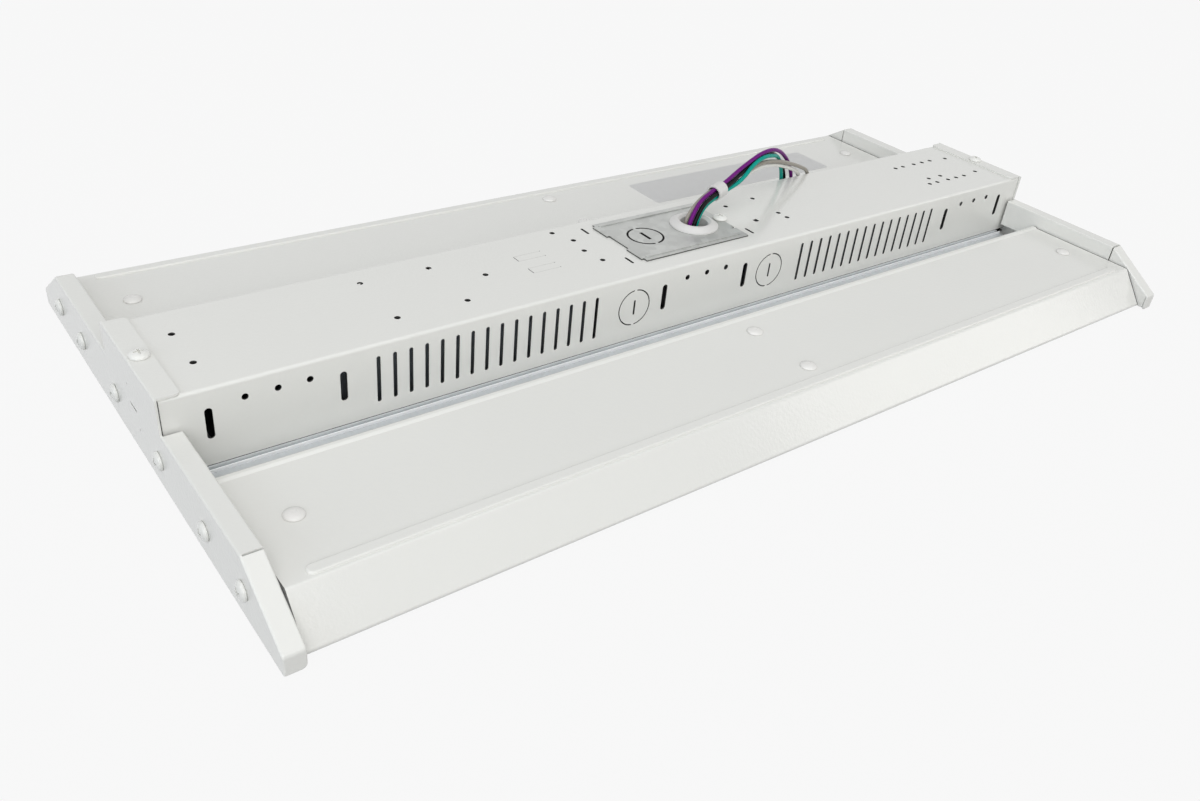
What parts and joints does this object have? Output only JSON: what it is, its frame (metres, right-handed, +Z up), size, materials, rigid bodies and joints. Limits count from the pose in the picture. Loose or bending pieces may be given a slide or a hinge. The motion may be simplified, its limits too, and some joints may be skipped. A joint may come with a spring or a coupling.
{
  "type": "high bay light",
  "caption": "Linear high bay light: a folded steel driver housing over a pan with two lit wings, folded end caps and wires through a bushing.",
  "frame": {"origin": "middle of the bounding box at the plane of the lower rims that the light rests on", "axes": "+X along the light towards the end of the sensor holes, +Y across it, +Z up, away from the lenses"},
  "size_m": [0.6262, 0.322, 0.0804],
  "materials": {
    "white_paint": "gloss powder coat",
    "white_screw": "gloss",
    "galvanised_steel": "galvanised sheet",
    "zinc_screw": "zinc plated",
    "driver_can": "satin",
    "board_white": "white solder mask",
    "white_plastic": "moulded nylon",
    "frosted_lens": "frosted",
    "purple_wire": "insulation",
    "black_wire": "insulation",
    "green_wire": "insulation",
    "white_wire": "insulation",
    "grey_wire": "insulation"
  },
  "bodies": {
    "root": {"housing": "white_paint", "pan": "white_paint", "end_cap_left": "white_paint", "end_cap_right": "white_paint", "end_cap_screws_left": "white_screw", "end_cap_screws_right": "white_screw", "cap_top_screws": "white_screw", "access_plate_screw": "white_screw", "access_plate": "galvanised_steel", "gear_tray": "galvanised_steel", "lens_rail": "white_paint", "rail_screws": "zinc_screw", "driver_screws": "zinc_screw", "driver_left": "driver_can", "driver_right": "driver_can", "light_board_near": "board_white", "light_board_far": "board_white", "board_rivets_near": "white_plastic", "board_rivets_far": "white_plastic", "lens_near": "frosted_lens", "lens_far": "frosted_lens", "wire_bushing": "white_plastic", "wire_sleeve": "white_plastic", "wire_purple": "purple_wire", "wire_black": "black_wire", "wire_green": "green_wire", "wire_white": "white_wire", "wire_grey": "grey_wire"}
  },
  "joints": []
}
